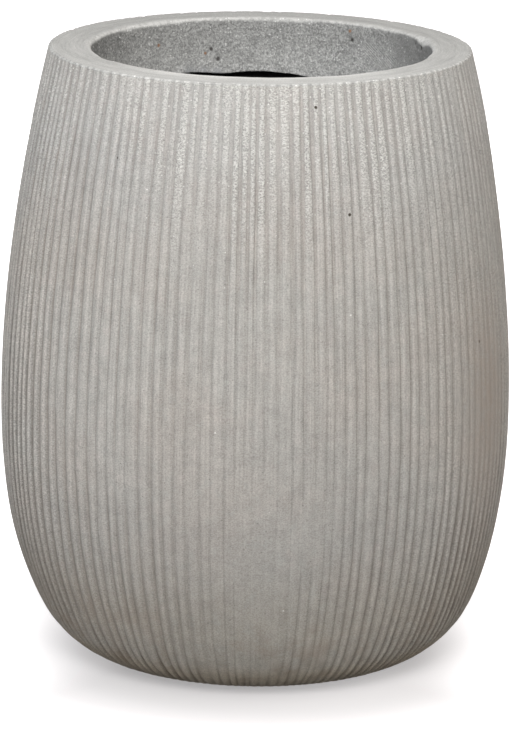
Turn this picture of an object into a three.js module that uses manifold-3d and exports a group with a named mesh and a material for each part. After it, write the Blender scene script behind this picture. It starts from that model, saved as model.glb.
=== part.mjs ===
// Tall round planter: a ribbed fibre-cement face over a black fibre lining, closed at the mouth by a
// thick cast rim ring, with a rubber drain plug in the floor and rubber pads under the foot.
// Millimetres, +Z up, the floor it stands on is Z = 0.
import * as THREE from 'three';
import { mergeVertices } from 'three/addons/utils/BufferGeometryUtils.js';
import Module from 'manifold-3d';

// Outer form, measured over the rib crests
const HEIGHT = 484;
const BELLY_RADIUS = 200;
const BELLY_HEIGHT = 199;
const RIM_RADIUS = 163.5;
const FOOT_RADIUS = 112;

// How full the wall curves are below and above the belly: 0 is flat, 1 is square
const FOOT_FULLNESS = 0.61;
const SHOULDER_FULLNESS = 0.46;

// Ribs of the wall: each is a flat crest with a narrow V groove beside it
const RIB_COUNT = 132;
const RIB_DEPTH = 1.8;
const GROOVE_SHARE = 0.4;
const RIB_RUN_OUT = 12;

// Thickness of the cement face and of the lining behind it
const FACE_WALL = 7;
const LINING_WALL = 3.5;

// Rim ring: flat top, a thin lip over the wall's top edge, a deep collar inside the mouth
const RIM_WIDTH = 31.5;
const RIM_EDGE = 0.9;
const LIP_BAND = 0.6;
const MOUTH_BEVEL = 3;
const COLLAR_DEPTH = 45;

// Drain hole and its plug
const DRAIN_RADIUS = 13;
const PLUG_FLANGE_OVERLAP = 7;
const PLUG_FLANGE_HEIGHT = 4;
const PLUG_EDGE = 1;
const PLUG_NECK_RADIUS = 6;
const PLUG_NECK_HEIGHT = 6;
const PLUG_GRIP_RADIUS = 9.5;
const PLUG_GRIP_HEIGHT = 7;

// Floor pads
const PAD_COUNT = 4;
const PAD_RADIUS = 12;
const PAD_HEIGHT = 3;
const PAD_EDGE = 0.8;
const PAD_INSET = 20;

// Gap kept between pieces that touch
const FIT_GAP = 0.3;

// Facets: round the plain surfaces, round the small pieces, and along each stretch of the wall
const ROUND_FACETS = 56;
const SMALL_FACETS = 20;
const RIB_ROWS = { foot: 7, shoulder: 3 };
const PLAIN_ROWS = { foot: 5, shoulder: 3 };
const EDGE_STEPS = 3;

// How strongly the rows gather towards the foot, where the wall turns fastest: 1 is evenly spread
const FOOT_GATHER_POWER = 1.4;

// Heights and radii that follow from the sizes above
const BASE_Z = PAD_HEIGHT + FIT_GAP;
const LIP_Z = HEIGHT - RIM_EDGE - LIP_BAND;
const WALL_TOP = LIP_Z - FIT_GAP;
const MOUTH_RADIUS = RIM_RADIUS - RIM_WIDTH;
const COLLAR_Z = HEIGHT - COLLAR_DEPTH;
const LINING_TOP = COLLAR_Z - FIT_GAP;
const LINING_INSET = FACE_WALL + FIT_GAP;
const LINING_FLOOR = BASE_Z + LINING_INSET + LINING_WALL;

const wasm = await Module();
wasm.setup();

const at = (radius, z) => new THREE.Vector2(radius, z);

// The wall over its crests, foot to rim: a rounded bottom that turns upright at the belly, then a
// slow lean inward to the wall's top edge.
const footCurve = new THREE.CubicBezierCurve(
  at(FOOT_RADIUS, BASE_Z),
  at(FOOT_RADIUS + FOOT_FULLNESS * (BELLY_RADIUS - FOOT_RADIUS), BASE_Z),
  at(BELLY_RADIUS, BELLY_HEIGHT - FOOT_FULLNESS * (BELLY_HEIGHT - BASE_Z)),
  at(BELLY_RADIUS, BELLY_HEIGHT),
);
const shoulderCurve = new THREE.QuadraticBezierCurve(
  at(BELLY_RADIUS, BELLY_HEIGHT),
  at(BELLY_RADIUS, BELLY_HEIGHT + SHOULDER_FULLNESS * (WALL_TOP - BELLY_HEIGHT)),
  at(RIM_RADIUS, WALL_TOP),
);

// Points of the wall with their inward direction
function wallStations(rows) {
  const stations = [];
  const addStretch = (curve, steps, first, gather) => {
    for (let i = first; i <= steps; i++) {
      const along = (i / steps) ** gather;
      const tangent = curve.getTangent(along);
      stations.push({ point: curve.getPoint(along), tangent, inward: at(-tangent.y, tangent.x) });
    }
  };
  addStretch(footCurve, rows.foot, 0, FOOT_GATHER_POWER);
  addStretch(shoulderCurve, rows.shoulder, 1, 1);
  return stations;
}

// A line parallel to the wall at a depth behind the crests, run on straight past the wall's top
function insetLine(depth) {
  const stations = wallStations(PLAIN_ROWS);
  const line = stations.map((s) => s.point.clone().addScaledVector(s.inward, depth));
  const top = line[line.length - 1];
  const { tangent } = stations[stations.length - 1];
  line.push(top.clone().addScaledVector(tangent, depth + FACE_WALL));
  return line;
}

// The part of a rising line between two heights
function between(line, low, high) {
  const crossing = (a, b, z) => a.clone().lerp(b, (z - a.y) / (b.y - a.y));
  const part = [];
  line.forEach((a, i) => {
    const b = line[i + 1];
    if (a.y >= low && a.y <= high) part.push(a);
    if (b && a.y < low && b.y > low) part.push(crossing(a, b, low));
    if (b && a.y < high && b.y > high) part.push(crossing(a, b, high));
  });
  return part;
}

// One welded body without slivers that have shrunk to a line
function weld(geometry) {
  geometry.deleteAttribute('normal');
  geometry.deleteAttribute('uv');
  const welded = mergeVertices(geometry, 1e-4);
  const index = welded.index.array;
  const kept = [];
  for (let i = 0; i < index.length; i += 3) {
    const [a, b, c] = index.slice(i, i + 3);
    if (a !== b && b !== c && c !== a) kept.push(a, b, c);
  }
  welded.setIndex(kept);
  return welded;
}

// A profile turned about the Z axis; it runs bottom, outside, top, inside
function turned(profile, facets) {
  return weld(new THREE.LatheGeometry(profile, facets).rotateX(Math.PI / 2));
}

function ringTurned(profile, facets) {
  return turned([...profile, profile[0].clone()], facets);
}

function toManifold(geometry) {
  return new wasm.Manifold(new wasm.Mesh({
    numProp: 3,
    vertProperties: new Float32Array(geometry.attributes.position.array),
    triVerts: new Uint32Array(geometry.index.array),
  }));
}

function fromManifold(solid) {
  const mesh = solid.getMesh();
  const geometry = new THREE.BufferGeometry();
  geometry.setAttribute('position', new THREE.BufferAttribute(new Float32Array(mesh.vertProperties), 3));
  geometry.setIndex(Array.from(mesh.triVerts));
  return geometry;
}

// The wall as a solid block with its ribs: every rib has a groove line and the two edges of its crest.
// The grooves run out to nothing just above the foot.
function ribbedBlock() {
  const stations = wallStations(RIB_ROWS);
  const marks = [0, GROOVE_SHARE / 2, 1 - GROOVE_SHARE / 2];
  const round = RIB_COUNT * marks.length;
  const positions = [];
  const index = [];
  for (const { point, inward } of stations) {
    const cut = RIB_DEPTH * THREE.MathUtils.smoothstep(point.y, BASE_Z, BASE_Z + RIB_RUN_OUT);
    const groove = point.clone().addScaledVector(inward, cut);
    for (let k = 0; k < round; k++) {
      const rib = Math.floor(k / marks.length);
      const mark = k % marks.length;
      const angle = (rib + marks[mark]) / RIB_COUNT * 2 * Math.PI;
      const { x: radius, y: z } = mark === 0 ? groove : point;
      positions.push(radius * Math.cos(angle), radius * Math.sin(angle), z);
    }
  }
  for (let row = 0; row < stations.length - 1; row++) {
    for (let k = 0; k < round; k++) {
      const a = row * round + k;
      const b = row * round + (k + 1) % round;
      index.push(a, b, b + round, a, b + round, a + round);
    }
  }
  const foot = positions.length / 3;
  const top = foot + 1;
  const lastRow = (stations.length - 1) * round;
  positions.push(0, 0, BASE_Z, 0, 0, WALL_TOP);
  for (let k = 0; k < round; k++) {
    const next = (k + 1) % round;
    index.push(foot, next, k, top, lastRow + k, lastRow + next);
  }
  const geometry = new THREE.BufferGeometry();
  geometry.setAttribute('position', new THREE.Float32BufferAttribute(positions, 3));
  geometry.setIndex(index);
  return geometry;
}

// The face: the ribbed block, hollowed to an even wall and drilled for the drain
function ribbedFace() {
  const back = insetLine(FACE_WALL);
  const mouth = back[back.length - 1];
  const hollow = turned([at(0, back[0].y), ...back, at(0, mouth.y)], ROUND_FACETS);
  const drill = turned([
    at(0, 0), at(DRAIN_RADIUS, 0), at(DRAIN_RADIUS, LINING_FLOOR), at(0, LINING_FLOOR),
  ], SMALL_FACETS);
  return fromManifold(toManifold(ribbedBlock()).subtract(toManifold(hollow)).subtract(toManifold(drill)));
}

// The lining: a plain black vessel against the back of the face, up to the collar, with the drain hole
function fibreLining() {
  const outside = between(insetLine(LINING_INSET), BASE_Z + LINING_INSET, LINING_TOP);
  const inside = between(insetLine(LINING_INSET + LINING_WALL), LINING_FLOOR, LINING_TOP).reverse();
  return ringTurned([
    at(DRAIN_RADIUS, BASE_Z + LINING_INSET), ...outside, ...inside, at(DRAIN_RADIUS, LINING_FLOOR),
  ], ROUND_FACETS);
}

// The rim ring: its lip lies on the wall's top edge, its collar fills the mouth down to the lining
function rimRing() {
  const collarBack = between(insetLine(LINING_INSET), COLLAR_Z, LIP_Z);
  const outerEdge = [];
  for (let i = 0; i <= EDGE_STEPS; i++) {
    const turn = (i / EDGE_STEPS) * (Math.PI / 2);
    outerEdge.push(at(
      RIM_RADIUS - RIM_EDGE + RIM_EDGE * Math.cos(turn),
      HEIGHT - RIM_EDGE + RIM_EDGE * Math.sin(turn),
    ));
  }
  return ringTurned([
    at(MOUTH_RADIUS, COLLAR_Z),
    ...collarBack,
    at(RIM_RADIUS, LIP_Z),
    ...outerEdge,
    at(MOUTH_RADIUS + MOUTH_BEVEL, HEIGHT),
    at(MOUTH_RADIUS, HEIGHT - MOUTH_BEVEL),
  ], ROUND_FACETS);
}

// The drain plug: a stem through the floor, a flange on the lining and a mushroom grip to pull it by
function drainPlug() {
  const stem = DRAIN_RADIUS - FIT_GAP;
  const flange = DRAIN_RADIUS + PLUG_FLANGE_OVERLAP;
  const flangeZ = LINING_FLOOR + FIT_GAP;
  const neckZ = flangeZ + PLUG_FLANGE_HEIGHT;
  const gripZ = neckZ + PLUG_NECK_HEIGHT;
  const gripTop = gripZ + PLUG_GRIP_HEIGHT;
  return turned([
    at(0, BASE_Z),
    at(stem - PLUG_EDGE, BASE_Z),
    at(stem, BASE_Z + PLUG_EDGE),
    at(stem, flangeZ),
    at(flange, flangeZ),
    at(flange, neckZ - PLUG_EDGE),
    at(flange - PLUG_EDGE, neckZ),
    at(PLUG_NECK_RADIUS, neckZ),
    at(PLUG_NECK_RADIUS, gripZ),
    at(PLUG_GRIP_RADIUS, gripZ + PLUG_EDGE),
    at(PLUG_GRIP_RADIUS, gripTop - PLUG_EDGE),
    at(PLUG_GRIP_RADIUS - PLUG_EDGE, gripTop),
    at(0, gripTop),
  ], SMALL_FACETS);
}

// One floor pad, its lower edge softened
function floorPad(number) {
  const pad = turned([
    at(0, 0),
    at(PAD_RADIUS - PAD_EDGE, 0),
    at(PAD_RADIUS, PAD_EDGE),
    at(PAD_RADIUS, PAD_HEIGHT),
    at(0, PAD_HEIGHT),
  ], SMALL_FACETS);
  const reach = FOOT_RADIUS - PAD_INSET;
  const angle = ((number - 0.5) / PAD_COUNT) * 2 * Math.PI;
  return pad.translate(reach * Math.cos(angle), reach * Math.sin(angle), 0);
}

const planter = new THREE.Group();
planter.name = 'tall_round_planter';

function place(name, geometry, color, roughness) {
  const mesh = new THREE.Mesh(geometry, new THREE.MeshStandardMaterial({ color, roughness, metalness: 0 }));
  mesh.name = name;
  planter.add(mesh);
}

place('ribbed_face', ribbedFace(), 0xb4b0a8, 0.9);
place('fibre_lining', fibreLining(), 0x161617, 0.4);
place('rim_ring', rimRing(), 0xbdbab5, 0.85);
place('drain_plug', drainPlug(), 0x1d1d1d, 0.7);
for (let number = 1; number <= PAD_COUNT; number++) {
  place(`floor_pad_${number}`, floorPad(number), 0x2b2b2b, 0.8);
}

export default planter;
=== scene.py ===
import bmesh
import bpy
import numpy as np
from mathutils import Matrix, Vector


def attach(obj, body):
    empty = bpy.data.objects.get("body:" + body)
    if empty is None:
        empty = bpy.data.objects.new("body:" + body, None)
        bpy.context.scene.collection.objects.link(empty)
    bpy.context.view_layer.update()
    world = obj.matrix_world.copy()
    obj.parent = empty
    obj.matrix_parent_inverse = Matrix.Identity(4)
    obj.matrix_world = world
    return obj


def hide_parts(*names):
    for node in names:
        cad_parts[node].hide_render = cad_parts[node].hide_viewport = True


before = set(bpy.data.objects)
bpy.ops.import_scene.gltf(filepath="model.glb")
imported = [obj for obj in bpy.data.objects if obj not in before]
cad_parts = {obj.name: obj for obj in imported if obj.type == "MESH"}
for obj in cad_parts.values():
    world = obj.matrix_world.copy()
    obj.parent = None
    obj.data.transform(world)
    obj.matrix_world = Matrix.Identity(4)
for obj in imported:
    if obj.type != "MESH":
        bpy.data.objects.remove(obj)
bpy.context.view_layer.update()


# The cement face: sand and cement with chopped fibre, laid by hand into a ribbed mould and bonded to
# the lining behind it. Ribs, wall and base are one casting, and no two ribs are quite alike.
belly_radius = 0.200
belly_height = 0.199
rim_radius = 0.1635
foot_radius = 0.112
foot_fullness = 0.61
shoulder_fullness = 0.46
face_base = 0.0033
wall_top = 0.48245
face_wall = 0.007
drain_radius = 0.013
shoulder_bulge = 0.0015
bottom_lean = 0.0019
bottom_bulge = 0.0013
bottom_height = 0.035
rib_count = 132
rib_depth = 0.0015
rib_run_out = 0.008
rib_unevenness = 0.12
rib_neighbours = 5
groove_half_width = 0.085
worn_count = 60
front = -np.pi / 2
smudge_side = front + np.radians(64)
deep_side = front - np.radians(60)

# Points across one rib, as shares of its width. They crowd in the groove.
rib_across = np.array([0, 0.05, 0.11, 0.20, 0.33, 0.5, 0.67, 0.80, 0.89, 0.95])

# Rib width by turn from the front: wider at the left, closer in the middle.
spacing_turn = (-1.35, -1.10, -0.56, -0.40, 0.35, 0.55)
spacing_width = (1.0, 1.13, 1.13, 0.93, 0.93, 1.0)

# Waves along the ribs: reach, in radians for the wander and as a share of the depth for the swell, and
# length in metres of height.
rib_wander = ((0.0006, 0.31), (0.0003, 0.12), (0.0002, 0.05))
rib_swell = ((0.22, 0.19), (0.18, 0.07))

# Places on the wall: side, height, half width in radians and half height, with a share where one is
# given. A patch of the whole wall's height fades with the angle alone.
whole_wall = 9.0
smudge_place = (smudge_side, 0.23, 0.20, 0.085)
rib_depth_places = (
    (deep_side, 0.25, 0.60, 0.40, 0.70), (front + 0.05, 0.10, 0.30, 0.09, -0.70),
    (*smudge_place, -0.70), (front, 0.035, 1.00, 0.025, -0.30), (front + 1.00, 0.43, 0.35, 0.08, -0.35),
    (front - 0.42, 0.25, 0.20, 0.30, -0.30), (front, 0.22, 0.25, 0.07, -0.45))
# Patches of painted shade, and of painted light where the share is below nought.
painted_shading_places = (
    (front, 0.10, 0.35, 0.09, 0.20), (front - 0.70, 0.20, 0.35, 0.20, -0.30),
    (front + 0.80, 0.10, 0.30, 0.09, -0.25), (front - 0.95, 0.24, 0.25, 0.10, -0.15),
    (front - 0.60, 0.09, 0.35, 0.05, -0.25), (front + 0.55, 0.08, 0.30, 0.04, -0.15),
    (front + 0.96, 0.13, 0.15, 0.04, -0.20), (front + 0.25, 0.22, 0.25, 0.06, 0.15),
    (front - 0.10, 0.04, 0.35, 0.022, 0.30), (front - 1.22, 0.07, 0.12, 0.035, 0.50),
    (front + 1.22, 0.07, 0.12, 0.035, 0.45))
# Patches with more dust and painted shade in the grooves, and less where the share is below nought.
dust_and_shade_places = (
    (front, 0.30, 0.55, 0.60, -0.28), (front - 1.40, 0.25, 0.35, 0.50, 0.45),
    (front + 1.20, 0.20, 0.35, 0.40, 0.45))
scuff_places = [(np.radians(side), 0.46, 0.50, 0.12, share) for side, share in (
    (-90, 1.0), (-55, 0.4), (-20, 0.15), (48, 0.6), (120, 0.5), (195, 0.4))]


def turn_from(angle, toward):
    """How far an angle is turned away from another, within half a turn either way."""
    return np.angle(np.exp(1j * (angle - toward)))


def ramp(value, start, end):
    """Rises evenly from 0 at start to 1 at end and is level beyond them. Start may be the larger one."""
    return np.clip((value - start) / (end - start), 0, 1)


def eased(share):
    """A share from 0 to 1 with a soft start and end: three times its square less twice its cube."""
    return share * share * (3 - 2 * share)


# What chance gives each rib: its width, less the mean of its neighbours', its strength, the phases of
# its waves, its wear and its reach under the rim. Then come the worn places on the wall.
rib_chance = np.random.default_rng(20)
rib_width = rib_unevenness * rib_chance.standard_normal(rib_count)
rib_shifts = range(-rib_neighbours, rib_neighbours + 1)
rib_width -= sum(np.roll(rib_width, shift) for shift in rib_shifts) / len(rib_shifts)
rib_turn = turn_from(2 * np.pi * (np.arange(rib_count) + 0.5) / rib_count, front)
rib_width = np.clip(1 + rib_width, 0.70, 1.35) * np.interp(rib_turn, spacing_turn, spacing_width)
rib_start = 2 * np.pi * (np.cumsum(rib_width) - rib_width) / rib_width.sum()
rib_strength = 1 + 0.24 * rib_chance.standard_normal(rib_count)
rib_phase = rib_chance.uniform(0, 2 * np.pi, (6, rib_count))
rib_scuff = rib_chance.uniform(0.55, 1.35, rib_count)
rib_reach = rib_chance.uniform(0.004, 0.035, rib_count)
worn_places = np.stack([rib_chance.uniform(least, most, worn_count) for least, most in (
    (-np.pi, np.pi), (0.04, 0.44), (0.03, 0.11), (0.012, 0.05))], axis=1)


def wall_line(foot_rows, shoulder_rows, depth):
    """The wall from foot to top edge as rows of (radius, height), a given depth behind the crests.
    The rounded bottom is a cubic curve that starts level at the foot and ends upright at the belly;
    the shoulder is a parabola from there to the rim. Depth is measured square to the curve."""
    t = np.linspace(0, 1, foot_rows)[:, None] ** 1.4
    foot = np.array([[foot_radius, face_base],
                     [foot_radius + foot_fullness * (belly_radius - foot_radius), face_base],
                     [belly_radius, belly_height - foot_fullness * (belly_height - face_base)],
                     [belly_radius, belly_height]])
    low = ((1 - t) ** 3 * foot[0] + 3 * (1 - t) ** 2 * t * foot[1]
           + 3 * (1 - t) * t ** 2 * foot[2] + t ** 3 * foot[3])
    low_way = ((1 - t) ** 2 * (foot[1] - foot[0]) + 2 * (1 - t) * t * (foot[2] - foot[1])
               + t ** 2 * (foot[3] - foot[2]))
    s = np.linspace(0, 1, shoulder_rows + 1)[1:, None]
    shoulder = np.array([[belly_radius, belly_height],
                         [belly_radius, belly_height + shoulder_fullness * (wall_top - belly_height)],
                         [rim_radius, wall_top]])
    high = (1 - s) ** 2 * shoulder[0] + 2 * (1 - s) * s * shoulder[1] + s ** 2 * shoulder[2]
    high_way = (1 - s) * (shoulder[1] - shoulder[0]) + s * (shoulder[2] - shoulder[1])
    way = np.concatenate([low_way, high_way])
    way /= np.linalg.norm(way, axis=1, keepdims=True)
    inward = np.stack([-way[:, 1], way[:, 0]], axis=1)
    return np.concatenate([low, high]) + depth * inward, inward


def patch(angle, height, toward, level, half_width, half_height):
    """A soft spot on the wall: a bell curve in angle and in height, one at its middle."""
    return np.exp(-(turn_from(angle, toward) / half_width) ** 2 - ((height - level) / half_height) ** 2)


def patches(angle, height, places):
    """Soft spots added up, each times the share that ends its row."""
    return sum(share * patch(angle, height, *place) for *place, share in places)


def out_of_true(angle, height):
    """How far the wall strays from its round form, by a millimetre or two: one side of the shoulder
    bulges, and the rounded bottom is a little full and leans to the same side."""
    lean = bottom_lean * np.exp(-((height - bottom_height) / 0.050) ** 2) * np.cos(angle)
    full = bottom_bulge * np.exp(-((height - bottom_height) / 0.02) ** 2)
    return shoulder_bulge * patch(angle, height, 0.0, 0.44, 0.75, 0.075) + lean + full


def rib_wave(height, length, phase):
    """A slow wave along each rib: one swing in that length of height, begun at the rib's own phase."""
    return np.sin(2 * np.pi * height / length + phase)


def rib_waves(height, waves, phases):
    """Slow waves along each rib added up, each of its own reach and length."""
    return sum(reach * rib_wave(height, length, phase) for (reach, length), phase in zip(waves, phases))


def rib_lines(heights):
    """Angle and cut of every mesh column at each height, and how far it lies down in a groove.
    Groove lines stand at uneven angles and wander with height. Across a rib the section mixes a narrow
    bell-shaped groove with a round crest, which has more of a share low down and at the sides; in front
    and near the rim it turns into a flat band with steep flanks and a flat valley. The depth swells and
    fades along each rib, lessens in worn places and under the rim, and runs out at the foot."""
    height = np.asarray(heights)[:, None]
    level = height[:, :, None]
    line = rib_start + rib_waves(height, rib_wander, rib_phase[:3])
    gap = np.roll(line, -1, axis=1) - line
    gap[:, -1] += 2 * np.pi
    angle = line[:, :, None] + gap[:, :, None] * rib_across

    # Depth along the ribs.
    worn = sum(patch(angle, level, *place) for place in worn_places)
    worn = np.clip(worn * np.maximum(ramp(level, 0.42, 0.34), 0.2), 0, 1)
    sides = 1 - patch(angle, level, front, 0.0, 0.95, whole_wall)
    low_flanks = ramp(level, 0.18, 0.10) * (1 - patch(angle, level, front, 0.0, 0.45, 1.0))
    high_flanks = ramp(level, 0.30, 0.40) * (1 - patch(angle, level, front, 0.0, 0.30, whole_wall))
    swell = (rib_strength + rib_waves(height, rib_swell, rib_phase[3:5]))[:, :, None]
    swell = swell * (1 - 0.6 * worn + 0.2 * sides + 0.5 * low_flanks - 0.4 * high_flanks
                     + patches(angle, level, rib_depth_places))
    run_out = ramp(level, face_base, face_base + rib_run_out)
    under_rim = np.clip((wall_top - level) / rib_reach[:, None], 0, 1)
    deep = np.clip(swell, 0.1, 1.9) * eased(run_out) * (0.4 + 0.6 * under_rim)

    # Section across a rib.
    soft = 0.25 + 0.5 * patch(angle, level, deep_side, 0.10, 0.60, 0.2) + 0.35 * sides
    soft = np.clip(soft + ramp(level, 0.20, -0.05), 0, 0.9)
    banded = np.maximum(ramp(level, 0.37, 0.45), 0.85 * patch(angle, level, front, 0.38, 0.45, 0.20))
    lean = 0.2 * rib_wave(height, 0.27, rib_phase[5])[:, :, None]
    wave = np.sin(np.pi * (rib_across + lean * np.sin(2 * np.pi * rib_across) / (2 * np.pi)))
    groove = 1 - np.exp(-(np.minimum(rib_across, 1 - rib_across) / groove_half_width) ** 2)
    crest = (1 - soft) * groove + soft * wave ** 1.7
    hump = (1 - banded) * crest + banded * eased(ramp(wave, 0.52, 0.76))
    deep = deep * (banded + (1 - banded) * (0.6 + 0.45 * soft))
    lowered = 0.00006 + 0.00012 * run_out * (1 + rib_wave(height, 0.23, rib_phase[4]))[:, :, None]
    cut = rib_depth * deep * (1 - hump) + lowered
    valley = np.clip(deep, 0, 1) ** (0.5 + 0.5 * ramp(level, 0.25, 0.15)) * (1 - hump)
    sheet = (len(height), -1)
    return angle.reshape(sheet), cut.reshape(sheet), valley.reshape(sheet)


def hoop_mesh(name, radius, angle, height, looped, **marks):
    """A skin over hoops round the Z axis: radius, angle and height are arrays of rows by columns.
    Each row closes on itself; looped rows also join the last hoop to the first, as in a ring. Rows run
    bottom, outside, top, inside, so that faces point outwards. Marks are values kept per point."""
    rows, columns = angle.shape
    points = np.stack([radius * np.cos(angle), radius * np.sin(angle), height], axis=-1).reshape(-1, 3)
    index = np.arange(rows * columns).reshape(rows, columns)
    right = np.roll(index, -1, axis=1)
    above = np.roll(index, -1, axis=0)
    above_right = np.roll(right, -1, axis=0)
    last = rows if looped else rows - 1
    quads = np.stack([index, right, above_right, above], axis=-1)[:last].reshape(-1, 4)
    mesh = bpy.data.meshes.new(name)
    mesh.from_pydata(points, [], quads)
    mesh.shade_smooth()
    for mark, value in marks.items():
        spread = np.ascontiguousarray(np.broadcast_to(value, angle.shape), np.float32)
        mesh.attributes.new(mark, "FLOAT", "POINT").data.foreach_set("value", spread.ravel())
    piece = bpy.data.objects.new(name, mesh)
    bpy.context.scene.collection.objects.link(piece)
    return piece


def face_marks(angle, height, valley):
    """Shares of wear, dirt and painted light and shade for every point of the face. Scuffs grow towards
    the rim. Dust and painted shade in the grooves lie more at the two sides, stain low down, and the
    smudge at one side. Painted shade falls low down at the sides, with patches of painted shade and
    light. Painted shade alone is in the grooves of the far sides."""
    turn = turn_from(angle, front)
    near_rim = ramp(height, 0.41, 0.46)
    low_sides = ramp(height, 0.18, 0.06) * (1 - patch(angle, height, front + 0.12, 0.0, 1.05, 1.0))
    smudge = patch(angle, height, *smudge_place)
    far_left = 0.9 * ramp(turn, -0.80, -1.20) * ramp(height, 0.44, 0.24)
    far_right = ramp(turn, 0.55, 1.10) * ramp(height, 0.29, 0.19) * (1 - smudge)
    far = far_left + far_right
    scuff = (0.15 + near_rim * (0.2 + 0.4 * patch(angle, height, front, 0.45, 0.9, 1.0))
             + patches(angle, height, scuff_places))
    dust_and_shade = 0.42 + patches(angle, height, dust_and_shade_places) + 0.25 * low_sides
    far_groove_shade = far * (1 - 0.5 * ramp(np.abs(turn), 1.6, 2.0))
    return {"scuff": scuff * ramp(height, 0.27, 0.43) * np.repeat(rib_scuff, len(rib_across)),
            "stain": np.clip(0.75 * smudge + 0.5 * low_sides, 0, 1),
            "dust_and_shade": dust_and_shade * (1 - 0.5 * near_rim) * (1 - 0.8 * smudge),
            "painted_shading": low_sides + patches(angle, height, painted_shading_places) - 0.5 * far,
            "far_groove_shade": far_groove_shade * eased(ramp(valley, 0.15, 0.60))}


def ribbed_face():
    """The wall's rows from the drain hole outwards, up the outside, over the top edge and down the back.
    On the outside each point is set in by the ribs' cut, square to the wall. One more row close under
    the top edge keeps that edge crisp."""
    outside, inward = wall_line(31, 26, 0.0)
    outside = np.insert(outside, -1, outside[-1] + [0.00003, -0.0001], axis=0)
    inward = np.insert(inward, -1, inward[-1], axis=0)
    back, _ = wall_line(6, 3, face_wall)
    under = np.stack([np.linspace(drain_radius, foot_radius, 4)[:-1], np.full(3, face_base)], axis=1)
    top = np.array([[back[-1, 0], wall_top]])
    floor = np.array([[drain_radius, back[0, 1]]])
    line = np.concatenate([under, outside, top, back[::-1], floor])
    angle, cut, valley = rib_lines(line[:, 1])
    radius = np.repeat(line[:, :1], angle.shape[1], axis=1)
    height = np.repeat(line[:, 1:], angle.shape[1], axis=1)
    wall = slice(len(under), len(under) + len(outside))
    radius[wall] += cut[wall] * inward[:, :1] + out_of_true(angle[wall], height[wall])
    height[wall] += cut[wall] * inward[:, 1:]
    height[wall][-1] = wall_top
    return hoop_mesh("ribbed_face_cast", radius, angle, height, looped=True, valley=valley,
                     **face_marks(angle, height, valley))


def paint(red, green, blue):
    """A colour as it looks on a screen, 0 to 255, turned into the linear values a shader takes."""
    share = np.array([red, green, blue]) / 255
    linear = np.where(share < 0.04045, share / 12.92, ((share + 0.055) / 1.055) ** 2.4)
    return (*linear.tolist(), 1.0)


def dab(tree, kind, sockets=None, **settings):
    """One node in a material, with its settings. Each socket is set to a value or joined to a socket."""
    node = tree.nodes.new(kind)
    for key, value in settings.items():
        setattr(node, key, value)
    for key, value in (sockets or {}).items():
        if isinstance(value, bpy.types.NodeSocket):
            tree.links.new(value, node.inputs[key])
        else:
            node.inputs[key].default_value = value
    return node


def grain(tree, place, scale, detail=2.0, roughness=0.5):
    """Smooth noise of one size: scale is grains to the metre."""
    return dab(tree, "ShaderNodeTexNoise", {"Vector": place, "Scale": scale, "Detail": detail,
                                            "Roughness": roughness}).outputs["Fac"]


def place_sums(tree, how, one, two=(0.0, 0.0, 0.0)):
    """Coordinates worked on as a whole, such as ADD or NORMALIZE."""
    return dab(tree, "ShaderNodeVectorMath", {0: one, 1: two}, operation=how).outputs[0]


def stretched(tree, place, factors):
    """Coordinates squeezed or drawn out along each axis, for grain that runs one way."""
    return place_sums(tree, "MULTIPLY", place, factors)


def away(tree, place, middle=(0.0, 0.0, 0.0)):
    """How far a place is from a middle."""
    apart = dab(tree, "ShaderNodeVectorMath", {0: place, 1: middle}, operation="DISTANCE")
    return apart.outputs["Value"]


def step(tree, value, low, high, out_low=0.0, out_high=1.0):
    """A value that rises smoothly from out_low to out_high between two limits."""
    return dab(tree, "ShaderNodeMapRange", {"Value": value, "From Min": low, "From Max": high,
                                            "To Min": out_low, "To Max": out_high},
               interpolation_type="SMOOTHSTEP").outputs["Result"]


def sums(tree, how, one, two=0.0):
    """One sum of two values, such as ADD or MAXIMUM, or of one, such as ABSOLUTE."""
    return dab(tree, "ShaderNodeMath", {0: one, 1: two}, operation=how).outputs[0]


def times(tree, one, two):
    """One value times another."""
    return sums(tree, "MULTIPLY", one, two)


def tint(tree, share, under, over, how="MIX"):
    """One colour laid over another by a share."""
    return dab(tree, "ShaderNodeMix", {0: share, 6: under, 7: over}, data_type="RGBA",
               blend_type=how).outputs[2]


def dim(tree, colour, share):
    """A colour made darker or lighter by a factor."""
    grey = dab(tree, "ShaderNodeCombineColor", {0: share, 1: share, 2: share}).outputs[0]
    return tint(tree, 1.0, colour, grey, "MULTIPLY")


def mark(tree, name):
    """A value kept on the mesh's points."""
    return dab(tree, "ShaderNodeAttribute", attribute_name=name).outputs["Fac"]


def specks(tree, place, scale, rarity, size):
    """Round specks in a share of random cells: scale is cells to the metre, size is in cells."""
    cells = dab(tree, "ShaderNodeTexVoronoi", {"Vector": place, "Scale": scale, "Randomness": 1.0})
    lot = dab(tree, "ShaderNodeSeparateColor", {0: cells.outputs["Color"]}).outputs[0]
    return times(tree, step(tree, lot, rarity, rarity + 0.01),
                 step(tree, cells.outputs["Distance"], size, 0.4 * size))


def bare_finish(name):
    """A new material: its tree, its shader and its Object coordinates."""
    finish = bpy.data.materials.new(name)
    finish.use_nodes = True
    tree = finish.node_tree
    shader = tree.nodes["Principled BSDF"]
    place = dab(tree, "ShaderNodeTexCoord").outputs["Object"]
    return finish, tree, shader, place


def coat(tree, shader, colour, roughness, relief, strength, distance, gloss=0.25):
    """Joins a colour, a roughness, a dull gloss and a relief to the shader."""
    tree.links.new(colour, shader.inputs["Base Color"])
    shader.inputs["Roughness"].default_value = roughness
    shader.inputs["Specular IOR Level"].default_value = gloss
    bump = dab(tree, "ShaderNodeBump", {"Height": relief, "Strength": strength, "Distance": distance})
    tree.links.new(bump.outputs["Normal"], shader.inputs["Normal"])


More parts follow.
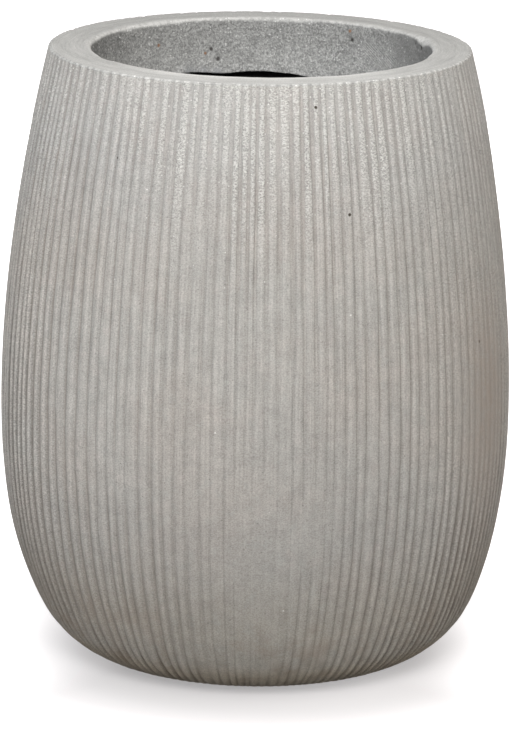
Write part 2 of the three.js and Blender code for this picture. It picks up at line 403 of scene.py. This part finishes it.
upper_clouds = paint(180, 176, 172), paint(179, 177, 174)
lower_clouds = paint(176, 171, 165), paint(174, 171, 166)
foot_clay = paint(176, 171, 162)
green_fleck, pink_fleck = paint(176, 176, 171), paint(182, 174, 169)
groove_dust_and_shade = paint(126, 118, 110)
bare_sand = paint(220, 219, 214)
white_grain = paint(230, 229, 225)
pinhole_shade = paint(74, 67, 60)
splashed_earth = paint(150, 136, 122)
smudge_brown = paint(155, 140, 127)
edge_brown = (1.04, 0.98, 0.89, 1.0)

# Painted light and shade by height: two heights, and the factors below and above them.
face_light_and_shade_by_height = ((0.03, 0.09, 1.06, 0.97), (0.02, 0.05, 1.36, 1.0), (0.10, 0.26, 0.94, 1.01),
              (0.28, 0.38, 1.0, 0.95), (0.41, 0.47, 1.0, 1.07))

# Pinholes in the wall: degrees from the front and height.
face_pinholes = ((14.6, 0.467), (24.9, 0.4646), (22.0, 0.3878), (60.2, 0.2749), (-36.9, 0.4229))


def face_cement():
    """Warm grey cement: pink and green-grey clouds and flecks, mottling, faint upright streaks, fine
    sand, a few white grains and pinholes darkened by painted shade. Grooves hold dust and painted shade,
    with more painted shade at the far sides and on the rib flanks; crests near the rim are scuffed down
    to pale, coarse sand. Painted light and shade set its tone by height and in patches. Low down it is
    browner and splashed with earth, and one side has a brown smudge."""
    finish, tree, shader, place = bare_finish("face_cement")
    valley, scuff, dust_and_shade_share = mark(tree, "valley"), mark(tree, "scuff"), mark(tree, "dust_and_shade")
    z = dab(tree, "ShaderNodeSeparateXYZ", {0: place}).outputs[2]

    # Clouds, flecks, painted light and shade by height and in patches, and mottling.
    clouds = step(tree, grain(tree, place, 13, 3), 0.35, 0.65)
    flecks = grain(tree, place, 120, 2)
    body = tint(tree, step(tree, z, 0.33, 0.45), tint(tree, clouds, *lower_clouds),
                tint(tree, clouds, *upper_clouds))
    body = tint(tree, step(tree, z, 0.14, 0.05), body, foot_clay)
    body = tint(tree, step(tree, flecks, 0.55, 0.7, 0.0, 0.3), body, green_fleck)
    body = tint(tree, step(tree, flecks, 0.45, 0.3, 0.0, 0.3), body, pink_fleck)
    for tone in face_light_and_shade_by_height:
        body = dim(tree, body, step(tree, z, *tone))
    body = dim(tree, body, step(tree, mark(tree, "painted_shading"), -1.0, 1.0, 1.17, 0.83))
    mottle = grain(tree, place, 90, 4, 0.65)
    body = dim(tree, body, step(tree, mottle, 0.3, 0.7, 0.93, 1.07))

    # Streaks that run up the wall, and sand, which stands out more where there is dust and painted
    # shade.
    heading = place_sums(tree, "NORMALIZE", stretched(tree, place, (1, 1, 0)))
    lanes = place_sums(tree, "ADD", heading, stretched(tree, place, (0, 0, 0.12)))
    streaks = dim(tree, body, step(tree, grain(tree, lanes, 130, 2), 0.38, 0.62, 0.92, 1.08))
    body = tint(tree, step(tree, z, 0.12, 0.32, 0.4, 1.0), body, streaks)
    sand = grain(tree, stretched(tree, place, (1, 1, 1.5)), 800, 3, 0.75)
    body = dim(tree, body, step(tree, sand, 0.3, 0.7, 0.79, 1.21))
    dusty_sand = dim(tree, body, step(tree, sand, 0.3, 0.7, 0.84, 1.20))
    body = tint(tree, step(tree, dust_and_shade_share, 0.30, 0.65), body, dusty_sand)

    # Dust and painted shade in grooves, painted shade on far grooves and flanks, scuffed crests of
    # coarse sand.
    body = tint(tree, times(tree, dust_and_shade_share, step(tree, valley, 0.4, 1.0)), body, groove_dust_and_shade)
    body = dim(tree, body, step(tree, mark(tree, "far_groove_shade"), 0, 1, 1.0, 0.68))
    flank_shade = times(tree, times(tree, valley, 4.0), sums(tree, "SUBTRACT", 1.0, valley))
    body = dim(tree, body, step(tree, flank_shade, 0.65, 1.0, 1.0, 0.88))
    coarse = grain(tree, stretched(tree, place, (1, 1, 1.6)), 620, 3, 0.8)
    crest = step(tree, valley, 0.75, 0.25)
    sunken = times(tree, step(tree, coarse, 0.46, 0.36), times(tree, crest, scuff))
    body = dim(tree, body, step(tree, sunken, 0, 1, 1, 0.85))
    bared = times(tree, times(tree, step(tree, coarse, 0.44, 0.60), crest), scuff)
    body = tint(tree, times(tree, bared, 0.9), body, bare_sand)

    # White grains, dark grains, and pinholes with painted shade in them.
    quartz = times(tree, specks(tree, place, 420, 0.93, 0.32), step(tree, scuff, 0, 1, 0.1, 1.0))
    quartz = sums(tree, "MAXIMUM", quartz, specks(tree, place, 170, 0.975, 0.14))
    body = tint(tree, quartz, body, white_grain)
    body = dim(tree, body, step(tree, specks(tree, place, 300, 0.89, 0.27), 0, 1, 1.0, 0.74))
    hole = specks(tree, place, 62, 0.965, 0.055)
    wall, _ = wall_line(60, 60, 0.0)
    for degrees, level in face_pinholes:
        turn = front + np.radians(degrees)
        out = np.interp(level, wall[:, 1], wall[:, 0])
        from_hole = away(tree, place, (out * np.cos(turn), out * np.sin(turn), level))
        hole = sums(tree, "MAXIMUM", hole, step(tree, from_hole, 0.0016, 0.0008))
    body = tint(tree, hole, body, pinhole_shade)

    # Earth, the brown lowest edge and the smudge, then the relief of sand and pinholes.
    splashes = step(tree, grain(tree, place, 34, 4, 0.6), 0.45, 0.7, 0.0, 0.5)
    body = tint(tree, times(tree, splashes, step(tree, z, 0.11, 0.03)), body, splashed_earth)
    body = tint(tree, step(tree, z, 0.036, 0.018), body, edge_brown, "MULTIPLY")
    smudge = times(tree, mark(tree, "stain"), step(tree, mottle, 0.25, 0.7, 0.35, 0.85))
    body = tint(tree, smudge, body, smudge_brown)
    relief = sums(tree, "ADD", times(tree, sand, 0.6), times(tree, mottle, 0.5))
    relief = sums(tree, "ADD", relief, times(tree, bared, 0.5))
    coat(tree, shader, body, 0.9, sums(tree, "SUBTRACT", relief, hole), 0.5, 0.0009)
    return finish


face = ribbed_face()
face.data.materials.append(face_cement())
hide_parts("ribbed_face")
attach(face, "vessel")


# The lining: glass fibre and black resin brushed on behind the cement, which makes the shell watertight.
# It runs from the drain hole to the collar's underside and has the soft gloss and ripple of laid fibre.
lining_inset = 0.0073
lining_wall = 0.0035
lining_ripple = 0.0006
collar_bottom = 0.439
lining_top = 0.4387
lining_columns = 160
resin_black, fibre_grey = paint(22, 22, 23), paint(42, 42, 43)


def lining_vessel():
    """The wall's line at two depths, cut off level under the collar and joined at the drain hole,
    turned about the axis. Its inside ripples by the product of two slow waves."""
    def cut_off(depth):
        line, _ = wall_line(20, 16, depth)
        edge = np.interp(lining_top, line[:, 1], line[:, 0])
        return np.concatenate([line[line[:, 1] < lining_top], [[edge, lining_top]]])
    outer = cut_off(lining_inset)
    inner = cut_off(lining_inset + lining_wall)
    line = np.concatenate([[[drain_radius, outer[0, 1]]], outer,
                           inner[::-1], [[drain_radius, inner[0, 1]]]])
    angle = np.tile(np.linspace(0, 2 * np.pi, lining_columns, endpoint=False), (len(line), 1))
    radius = np.repeat(line[:, :1], lining_columns, axis=1)
    height = np.repeat(line[:, 1:], lining_columns, axis=1)
    inside = slice(len(outer) + 2, len(line) - 2)
    radius[inside] -= lining_ripple * (1 + np.sin(7 * angle[inside]) * np.sin(90 * height[inside]))
    return hoop_mesh("fibre_lining_laid", radius, angle, height, looped=True)


def black_resin():
    """Near-black resin with fibre showing through as a faint criss-cross, glossy where resin pooled."""
    finish, tree, shader, place = bare_finish("black_resin")
    pooled = grain(tree, place, 30, 3)
    fibre = dab(tree, "ShaderNodeTexWave", {"Vector": place, "Scale": 90.0, "Distortion": 9.0,
                                            "Detail": 3.0, "Detail Scale": 2.0},
                wave_type="BANDS", bands_direction="DIAGONAL").outputs["Fac"]
    body = tint(tree, fibre, resin_black, fibre_grey)
    coat(tree, shader, body, 0.4, sums(tree, "ADD", fibre, pooled), 0.3, 0.0008)
    tree.links.new(step(tree, pooled, 0.3, 0.7, 0.28, 0.5), shader.inputs["Roughness"])
    return finish


lining = lining_vessel()
lining.data.materials.append(black_resin())
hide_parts("fibre_lining")
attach(lining, "vessel")


# The rim ring: a thick ring of the same cement, struck flat on top with a float while wet. Its collar
# inside the mouth is left coarse, with open sand, pinholes and an uneven lower edge over the lining.
rim_top = 0.484
mouth_radius = 0.132
mouth_offset = 0.0017
mouth_bevel = 0.0026
edge_width, edge_drop = 0.0027, 0.00135
lip_bottom = 0.4825
lip_chips = 90
collar_rows = 44
back_pits = 40
pit_depth = 0.0011

# Waves of the mouth's bevel and of the collar's lower edge: degrees from the back, half width in degrees
# and depth.
bevel_waves = ((72, 4, 0.0034), (40, 20, -0.0008), (97, 13, -0.0011), (-52, 4, 0.0012),
               (14, 2, 0.0008), (-118, 4, 0.0014), (150, 5, 0.0012))
sag_waves = ((-1, 6, -0.0012), (21, 7, 0.0022), (-25, 8, -0.0013), (-70, 12, 0.0010),
             (100, 14, 0.0012), (170, 9, -0.0010))

# Spots on the collar: degrees from the back, depth under the rim's top, radius and strength.
collar_pits = ((-17.1, 0.0253, 0.0019, 1), (-14.6, 0.0337, 0.0020, 1), (33.5, 0.0138, 0.0019, 1),
               (71, 0.0078, 0.0022, 0.9), (66, 0.0065, 0.0016, 0.8))
rust_specks = ((32.7, 0.0068, 0.0017, 1), (-37.9, 0.0189, 0.0018, 1), (-19.3, 0.0284, 0.0015, 1))
smear_spots = ((-25, 0.0445, 0.005, 1), (-20, 0.0435, 0.004, 1), (-15, 0.0445, 0.004, 1))
trowel_spots = ((42, 0.022, 0.008, 1), (50, 0.028, 0.008, 1))


def dips(turn, places):
    """Dips along an edge: a bell curve at each of the places (degrees, half width in degrees, depth)."""
    total = np.zeros_like(turn)
    for degrees, half_width, deep in places:
        total += deep * np.exp(-(turn_from(turn, np.radians(degrees)) / np.radians(half_width)) ** 2)
    return total


def spots(turn, depth, places):
    """Round spots on the collar face: a bell curve at each of (degrees, depth, radius, strength)."""
    total = np.zeros(np.broadcast(turn, depth).shape)
    for degrees, middle, size, strength in places:
        aside = mouth_radius * turn_from(turn, np.radians(degrees))
        total += strength * np.exp(-(aside ** 2 + (depth - middle) ** 2) / size ** 2)
    return total


def collar_face(chance, from_back, mouth, bevel, sag):
    """Rows of (radius, height) from the bevel down to the uneven lower edge, and the collar's marks. The
    face is roughened by random steps, each added to two of its neighbours, and hollowed by the pits."""
    share = np.linspace(0, 1, collar_rows + 1)[1:, None]
    height = rim_top - bevel - share * (rim_top - bevel - collar_bottom + sag)
    depth = rim_top - height
    smear = np.clip(spots(from_back, depth, smear_spots), 0, 1)
    at_back = np.stack([chance.uniform(least, most, back_pits) for least, most in (
        (95, 265), (0.006, 0.043), (0.0008, 0.0015), (0.5, 1))], axis=1)
    pit = spots(from_back, depth, np.concatenate([collar_pits, at_back]))
    rough = chance.standard_normal(height.shape)
    rough = rough + np.roll(rough, 1, axis=1) + np.roll(rough, 1, axis=0)
    bumpy = 0.00010 * rough * np.clip(8 * share, 0, 1) * (1 - 0.8 * smear)
    rows = np.stack([mouth + bumpy + pit_depth * pit, height], axis=1)
    return rows, {"pit": pit, "rust": spots(from_back, depth, rust_specks), "smear": smear,
                  "trowel": np.clip(spots(from_back, depth, trowel_spots), 0, 1)}


def rim_ring():
    """A closed section turned about the axis: back, lip, rounded edge, flat top, worn bevel, collar face
    and the collar's foot. The lip follows the ribs below it and is chipped; the bevel's width, the lower
    edge and the collar face vary with the angle, counted from the back and positive to the right."""
    chance = np.random.default_rng(5)
    angle, cut, groove = (sheet[0] for sheet in rib_lines([wall_top]))
    from_back = turn_from(np.pi / 2, angle)

    def wavy(counts, reach):
        phase = chance.uniform(0, 2 * np.pi, len(counts))
        return reach * sum(np.sin(count * angle + start) / (1 + rank)
                           for rank, (count, start) in enumerate(zip(counts, phase)))

    chips = dips(from_back, np.stack([chance.uniform(least, most, lip_chips) for least, most in (
        (-180, 180), (0.3, 0.8), (0.0002, 0.0010))], axis=1))
    bevel = mouth_bevel + wavy((9, 17, 31, 47, 83), 0.0004) + dips(from_back, bevel_waves)
    sag = wavy((13, 23, 37), 0.0003) + dips(from_back, sag_waves)

    # Rows of the section, from the back of the collar round to its foot.
    line, _ = wall_line(30, 60, lining_inset)
    behind_low, behind_high = np.interp([collar_bottom, lip_bottom], line[:, 1], line[:, 0])
    level = np.ones_like(angle)
    stray = out_of_true(angle, lip_bottom) - cut - chips
    lip_radius = rim_radius + stray
    lip = np.stack([[behind_low * level, collar_bottom * level],
                    [behind_high * level, lip_bottom * level],
                    [lip_radius - 0.0001, lip_bottom * level],
                    [lip_radius, lip_bottom * level],
                    [lip_radius, (lip_bottom + 0.00008) * level]])
    turn = np.linspace(0, np.pi / 2, 5)[:, None]
    edge = np.stack([rim_radius - edge_width * (1 - np.cos(turn)) + stray * (0.3 + 0.7 * np.cos(turn)),
                     rim_top - edge_drop * (1 - np.sin(turn)) - 0.4 * chips * np.sin(turn)], axis=1)
    mouth = mouth_radius + mouth_offset * np.cos(angle)
    share = np.linspace(0.06, 0.94, 10)[:, None]
    flat = np.stack([(1 - share) * edge[-1, 0] + share * (mouth + bevel),
                     rim_top - 0.0001 * (1 + np.sin(4 * angle + 9 * share))], axis=1)
    share = np.linspace(0, 1, 5)[:, None]
    worn = np.stack([mouth + bevel * (1 - share) ** 1.3,
                     rim_top - bevel * share ** 1.3 - 0.0001], axis=1)
    collar, collar_marks = collar_face(chance, from_back, mouth, bevel, sag)
    foot = np.stack([[mouth + 0.004, collar_bottom - sag - 0.0005],
                     [mouth + 0.012, collar_bottom * level]])
    rows = np.concatenate([lip, edge, flat, worn, collar, foot])
    radius, height = rows[:, 0], rows[:, 1]

    # Marks by row: inside the mouth, bared by wear, and on the outer lip.
    outside_row, edge_row = 2, len(lip)
    flat_row = edge_row + len(edge)
    bevel_row = flat_row + len(flat)
    collar_row = bevel_row + len(worn)
    foot_row = collar_row + len(collar)

    def on_rows(start, end, value):
        spread = np.zeros_like(radius)
        spread[start:end] = value
        return spread

    inside = on_rows(collar_row, len(rows), 1.0)
    inside[bevel_row + 3:collar_row] = [[0.5], [0.9]]
    lip_scuff = np.repeat(rib_scuff, len(rib_across)) * (1 - groove)
    bared = on_rows(outside_row, edge_row + 3, 0.8 * lip_scuff)
    bared[edge_row - 1:flat_row] += 500 * chips
    bared[bevel_row - 1:collar_row + 2] = [[0.4], [0.5], [0.8], [1], [0.8], [0.4], [0.2], [0.05]]
    collar_marks = {name: on_rows(collar_row, foot_row, value) for name, value in collar_marks.items()}
    return hoop_mesh("rim_ring_cast", radius, np.tile(angle, (len(rows), 1)), height, looped=True,
                     inside=inside, bared=bared,
                     down=ramp(height, rim_top, collar_bottom), **collar_marks,
                     outer=on_rows(outside_row, edge_row + 3, 1.0),
                     furrow=on_rows(outside_row, edge_row + 4, groove))


top_clouds = paint(176, 175, 172), paint(181, 180, 177)
collar_shaded_top, collar_lit_foot = paint(157, 157, 155), paint(184, 184, 182)
scratch_pale = paint(206, 206, 203)
smear_blue = paint(170, 172, 176)
worn_pale = paint(208, 207, 204)
collar_grain = paint(224, 224, 222)
lip_fleck = paint(240, 239, 236)
pit_shade = paint(60, 56, 53)
rust_brown = paint(150, 108, 74)


def rim_cement():
    """Floated cement on top, pale and nearly smooth, with faint strokes round the ring; painted light
    makes its front paler, with a painted highlight along the mouth there, and painted shade darkens its
    back. Inside the mouth it is darker and coarse, and painted shade and light run it from darker under
    the top to lighter at the collar's foot, with painted shade at its two ends: sand cells of different
    greys, white grains, pits darkened by painted shade, rust specks, one smooth bluish smear and a patch
    of slanting trowel marks. The edge between them is worn pale. The outer lip has pale flecks, and the
    ribs' grooves run on into it as furrows with painted shade."""
    finish, tree, shader, place = bare_finish("rim_cement")
    inside, bared, outer = mark(tree, "inside"), mark(tree, "bared"), mark(tree, "outer")
    x, y, z = dab(tree, "ShaderNodeSeparateXYZ", {0: place}).outputs
    level = stretched(tree, place, (1, 1, 0))
    out = away(tree, level)
    heading = place_sums(tree, "NORMALIZE", level)

    def round_the_ring(closeness, scale):
        rings = dab(tree, "ShaderNodeCombineXYZ", {2: times(tree, out, closeness)}).outputs[0]
        return grain(tree, place_sums(tree, "ADD", heading, rings), scale, 3, 0.6)

    # The floated top: painted light in front, a painted highlight along the mouth there, painted shade
    # at the back.
    strokes, sweeps = round_the_ring(180.0, 6), round_the_ring(50.0, 3)
    clouds = grain(tree, place, 22, 4)
    sand = grain(tree, place, 800, 3, 0.75)
    top = tint(tree, step(tree, clouds, 0.35, 0.65), *top_clouds)
    top = dim(tree, top, step(tree, y, -0.15, -0.03, 1.10, 0.91))
    top = dim(tree, top, step(tree, y, 0.0, 0.15, 1.0, 0.87))
    top = dim(tree, top, step(tree, out, 0.136, 0.150, step(tree, y, -0.13, -0.09, 1.22, 1.0), 1.0))
    top = dim(tree, top, step(tree, strokes, 0.3, 0.7, 0.90, 1.10))
    top = dim(tree, top, step(tree, sweeps, 0.3, 0.7, 0.92, 1.08))
    top = dim(tree, top, step(tree, sand, 0.3, 0.7, 0.84, 1.16))

    # The coarse collar, smoother at one side, with its trowel marks and smear; painted shade and light
    # run it darker to lighter downwards, and painted shade darkens its ends.
    coarse = tint(tree, step(tree, mark(tree, "down"), 0.1, 1.0), collar_shaded_top, collar_lit_foot)
    cells = dab(tree, "ShaderNodeTexVoronoi", {"Vector": place, "Scale": 680.0, "Randomness": 1.0})
    lot = dab(tree, "ShaderNodeSeparateColor", {0: cells.outputs["Color"]}).outputs[1]
    floated = step(tree, x, 0.09, 0.125, 1.0, 0.3)
    coarse = tint(tree, floated, coarse, dim(tree, coarse, step(tree, lot, 0.0, 1.0, 0.78, 1.20)))
    coarse = tint(tree, floated, coarse, dim(tree, coarse, step(tree, sand, 0.3, 0.7, 0.70, 1.30)))
    coarse = dim(tree, coarse, step(tree, grain(tree, place, 90, 3), 0.3, 0.7, 0.93, 1.07))
    shade = step(tree, x, -0.1, 0.1, 0.77, 0.72)
    coarse = dim(tree, coarse, step(tree, sums(tree, "ABSOLUTE", x), 0.085, 0.132, 1.0, shade))
    slanting = sums(tree, "ADD", times(tree, sums(tree, "ADD", x, z), 2770.0), times(tree, clouds, 9.0))
    scratch = times(tree, mark(tree, "trowel"), step(tree, sums(tree, "SINE", slanting), -0.2, 0.9))
    coarse = tint(tree, times(tree, scratch, 0.7), coarse, scratch_pale)
    smear = mark(tree, "smear")
    coarse = tint(tree, times(tree, smear, 0.6), coarse, smear_blue)
    body = tint(tree, inside, top, coarse)

    # Worn edges, white grains, the rough outer lip, painted shade in the furrows and pits, rust, then
    # the relief.
    wear = times(tree, bared, step(tree, grain(tree, place, 260, 4, 0.7), 0.38, 0.6, 0.1, 0.7))
    body = tint(tree, wear, body, worn_pale)
    open_grain = step(tree, sums(tree, "MAXIMUM", inside, bared), 0, 1, 0.2, 0.9)
    white = times(tree, specks(tree, place, 480, 0.82, 0.40), open_grain)
    body = tint(tree, times(tree, white, floated), body, collar_grain)
    rubble = grain(tree, place, 420, 3, 0.8)
    body = tint(tree, outer, body, dim(tree, body, step(tree, rubble, 0.36, 0.64, 0.82, 1.14)))
    body = tint(tree, times(tree, outer, specks(tree, place, 400, 0.80, 0.40)), body, lip_fleck)
    body = dim(tree, body, step(tree, mark(tree, "furrow"), 0.1, 0.6, 1.0, 0.80))
    body = tint(tree, step(tree, mark(tree, "pit"), 0.25, 0.8, 0.0, 0.85), body, pit_shade)
    body = tint(tree, step(tree, mark(tree, "rust"), 0.3, 0.8, 0.0, 0.8), body, rust_brown)
    loose = times(tree, step(tree, inside, 0, 1, 0.2, 1.0), step(tree, smear, 0, 1, 1.0, 0.2))
    relief = sums(tree, "ADD", times(tree, sand, loose), times(tree, scratch, 0.6))
    relief = sums(tree, "ADD", relief, times(tree, strokes, 0.12))
    coat(tree, shader, body, 0.88, relief, 0.6, 0.0011)
    return finish


ring = rim_ring()
ring.data.materials.append(rim_cement())
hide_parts("rim_ring")
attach(ring, "vessel")


# The drain plug: one moulding of black rubber, pushed into the drain hole from inside and pulled out by
# its mushroom grip. The flange seals on the lining.
plug_floor = face_base + lining_inset + lining_wall
stem = drain_radius - 0.0003
stem_bevel = 0.001
flange = drain_radius + 0.007
seat = plug_floor + 0.0003
flange_top = seat + 0.004
neck, neck_top = 0.006, seat + 0.010
grip, grip_low, grip_top = 0.0095, seat + 0.011, seat + 0.017
plug_black = (30, 30, 30)


def turned_piece(name, line, columns, middle=(0.0, 0.0)):
    """A line of (radius, height) from axis to axis turned about a vertical axis. The hoops at both ends
    shrink to one point each."""
    angle = np.tile(np.linspace(0, 2 * np.pi, columns, endpoint=False), (len(line), 1))
    piece = hoop_mesh(name, np.repeat(line[:, :1], columns, axis=1), angle,
                      np.repeat(line[:, 1:], columns, axis=1), looped=False)
    edit = bmesh.new()
    edit.from_mesh(piece.data)
    bmesh.ops.remove_doubles(edit, verts=edit.verts, dist=1e-7)
    bmesh.ops.translate(edit, verts=edit.verts, vec=(*middle, 0.0))
    edit.to_mesh(piece.data)
    edit.free()
    piece.data.shade_smooth()
    return piece


def rounded_line(corners, rounding, steps=4):
    """A line through corners, each inner corner replaced by a small quadratic curve."""
    corners = np.array(corners, float)
    before, at, after = corners[:-2], corners[1:-1], corners[2:]
    reach_in = np.minimum(rounding, 0.45 * np.linalg.norm(before - at, axis=1))[:, None]
    reach_out = np.minimum(rounding, 0.45 * np.linalg.norm(after - at, axis=1))[:, None]
    enter = at + (before - at) / np.linalg.norm(before - at, axis=1)[:, None] * reach_in
    leave = at + (after - at) / np.linalg.norm(after - at, axis=1)[:, None] * reach_out
    t = np.linspace(0, 1, steps)[None, :, None]
    curves = (1 - t) ** 2 * enter[:, None] + 2 * (1 - t) * t * at[:, None] + t ** 2 * leave[:, None]
    return np.concatenate([corners[:1], curves.reshape(-1, 2), corners[-1:]])


def black_rubber(name, shade, haze_lift=14):
    """Matt rubber with a faint mould haze and dust in its pores."""
    finish, tree, shader, place = bare_finish(name)
    haze = grain(tree, place, 120, 4)
    hazy = paint(*(value + haze_lift for value in shade))
    body = tint(tree, step(tree, haze, 0.3, 0.7), paint(*shade), hazy)
    coat(tree, shader, body, 0.65, grain(tree, place, 900), 0.25, 0.0004)
    tree.links.new(step(tree, haze, 0.3, 0.7, 0.55, 0.75), shader.inputs["Roughness"])
    return finish


plug = turned_piece("drain_plug_moulding", rounded_line([
    (0, face_base), (stem - stem_bevel, face_base), (stem, face_base + stem_bevel), (stem, seat),
    (flange, seat), (flange, flange_top), (neck, flange_top), (neck, neck_top), (grip, grip_low),
    (grip, grip_top), (0, grip_top)], 0.001), 72)
plug.data.materials.append(black_rubber("plug_rubber", plug_black))
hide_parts("drain_plug")
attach(plug, "plug")


# The floor pads: round rubber pads stuck under the foot. They keep the drain hole off the ground and the
# cement from scratching it.
pad_count = 4
pad_radius = 0.012
pad_height = 0.003
pad_reach = foot_radius - 0.020
pad_line = rounded_line([(0, 0), (pad_radius - 0.0004, 0), (pad_radius, 0.0008),
                         (pad_radius, pad_height), (0, pad_height)], 0.0006)
pad_grey = (42, 42, 42)
pad_rubber = black_rubber("pad_rubber", pad_grey)
for number in range(1, pad_count + 1):
    turn = (number - 0.5) / pad_count * 2 * np.pi
    pad = turned_piece(f"floor_pad_{number}_moulding", pad_line, 48,
                       (pad_reach * np.cos(turn), pad_reach * np.sin(turn)))
    pad.data.materials.append(pad_rubber)
    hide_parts(f"floor_pad_{number}")
    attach(pad, "vessel")


# The studio: a white floor without a seam that keeps a soft shadow, a lamp in front, one overhead, a
# weak one at each side, a low one behind, and a pale surround, cooler at the left, warmer at the right.
floor_half = 9
floor_white = (1.0, 0.98, 0.985, 1.0)
lamp_aim = (0, 0, 0.3)
lamps = (("lamp_front", (0.0, -2.078, 1.5), 0.9, 25.5),
         ("lamp_overhead", (0.0, 0.0, 2.7), 1.2, 12),
         ("lamp_left", (-1.19, -1.70, 0.8), 0.9, 9.5),
         ("lamp_right", (1.26, -1.26, 0.6), 0.9, 3),
         ("lamp_behind", (0.0, 2.2, 0.35), 0.6, 14))
cool_white, warm_white = (0.955, 0.985, 1.02, 1), (1.045, 1.0, 0.945, 1)


def studio_floor():
    """A level sheet. The eye sees it white, with the shadow left in near the planter and a painted
    shadow added there by dimming its glow, deeper in front than at the sides and at the left; to other
    rays it is dark, so that no floor light reaches the planter from below."""
    mesh = bpy.data.meshes.new("studio_floor")
    mesh.from_pydata([(-floor_half, -floor_half, 0), (floor_half, -floor_half, 0),
                      (floor_half, floor_half, 0), (-floor_half, floor_half, 0)], [], [(0, 1, 2, 3)])
    sheet = bpy.data.objects.new("studio_floor", mesh)
    bpy.context.scene.collection.objects.link(sheet)
    finish, tree, shader, place = bare_finish("studio_floor")
    tree.nodes.remove(shader)
    ray = dab(tree, "ShaderNodeLightPath")
    seen = sums(tree, "MAXIMUM", ray.outputs["Is Camera Ray"],
                sums(tree, "MAXIMUM", ray.outputs["Is Glossy Ray"], ray.outputs["Is Transmission Ray"]))
    pale = dim(tree, floor_white, step(tree, seen, 0, 1, 0.07, 0.6))
    matt = dab(tree, "ShaderNodeBsdfDiffuse", {"Color": pale})

    reach = away(tree, place)
    x = dab(tree, "ShaderNodeSeparateXYZ", {0: place}).outputs[0]
    aside = sums(tree, "DIVIDE", sums(tree, "ABSOLUTE", x), reach)
    # Painted shadow: the glow is dimmed near the planter, more in front than at the sides and more at
    # the left.
    near = step(tree, reach, 0.13, 0.20, 0.38, step(tree, aside, 0.72, 1.0, 0.33, 0.77))
    slant = times(tree, step(tree, x, -0.1, 0.1, -0.06, 0.03), step(tree, reach, 0.15, 0.19, 1.0, 0.0))
    slant = times(tree, slant, step(tree, aside, 0.78, 0.95, 1.0, 0.0))
    lift = sums(tree, "ADD", sums(tree, "ADD", near, slant), step(tree, reach, 0.16, 0.33, 0.0, 0.6))
    glow = dab(tree, "ShaderNodeEmission", {"Color": floor_white, "Strength": times(tree, seen, lift)})
    both = dab(tree, "ShaderNodeAddShader", {0: matt.outputs[0], 1: glow.outputs[0]})
    tree.links.new(both.outputs[0], tree.nodes["Material Output"].inputs["Surface"])
    mesh.materials.append(finish)
    return sheet


studio_floor()


def soft_lamp(name, place, width, watts):
    """A square lamp at a place, turned to the middle of the planter."""
    lamp = bpy.data.lights.new(name, "AREA")
    lamp.size, lamp.energy = width, watts
    holder = bpy.data.objects.new(name, lamp)
    holder.location = place
    holder.visible_camera = False
    holder.rotation_euler = (Vector(lamp_aim) - Vector(place)).to_track_quat("-Z", "Y").to_euler()
    bpy.context.scene.collection.objects.link(holder)


for lamp in lamps:
    soft_lamp(*lamp)

surround = bpy.data.worlds.new("surround")
surround.use_nodes = True
sky = surround.node_tree
sky_ray = dab(sky, "ShaderNodeLightPath").outputs
sky_seen = sums(sky, "MAXIMUM", sky_ray["Is Camera Ray"], sky_ray["Is Transmission Ray"])
sky_place = dab(sky, "ShaderNodeTexCoord").outputs["Generated"]
sky_x, sky_y, sky_z = dab(sky, "ShaderNodeSeparateXYZ", {0: sky_place}).outputs
sky_tint = tint(sky, step(sky, sky_x, -1, 1), cool_white, warm_white)
sky_light = times(sky, step(sky, sky_z, -0.1, 0.8, 0.57, 0.83), step(sky, sky_y, -0.25, 0.8, 1.06, 0.66))
background = sky.nodes["Background"].inputs
sky.links.new(tint(sky, sky_seen, sky_tint, (1, 1, 1, 1)), background["Color"])
sky.links.new(step(sky, sky_seen, 0, 1, sky_light, 1.0), background["Strength"])
bpy.context.scene.world = surround


# The camera stands three and a half metres in front of the planter and higher than its rim. It looks
# down into the mouth by fourteen degrees and leans by under one.
camera_place = (0, -3.49312, 1.10073)
camera_tilt = 13.997
camera_lean = 0.75
focal_length_pixels = 4574.63
picture_height_pixels = 729
sensor_width = 36
camera = bpy.data.cameras.new("camera")
camera.sensor_width = sensor_width
camera.lens = focal_length_pixels * sensor_width / picture_height_pixels
viewer = bpy.data.objects.new("camera", camera)
viewer.matrix_world = (Matrix.Translation(camera_place)
                       @ Matrix.Rotation(np.radians(90 - camera_tilt), 4, "X")
                       @ Matrix.Rotation(np.radians(camera_lean), 4, "Z"))
bpy.context.scene.collection.objects.link(viewer)
bpy.context.scene.camera = viewer
bpy.context.scene.view_settings.view_transform = "Standard"
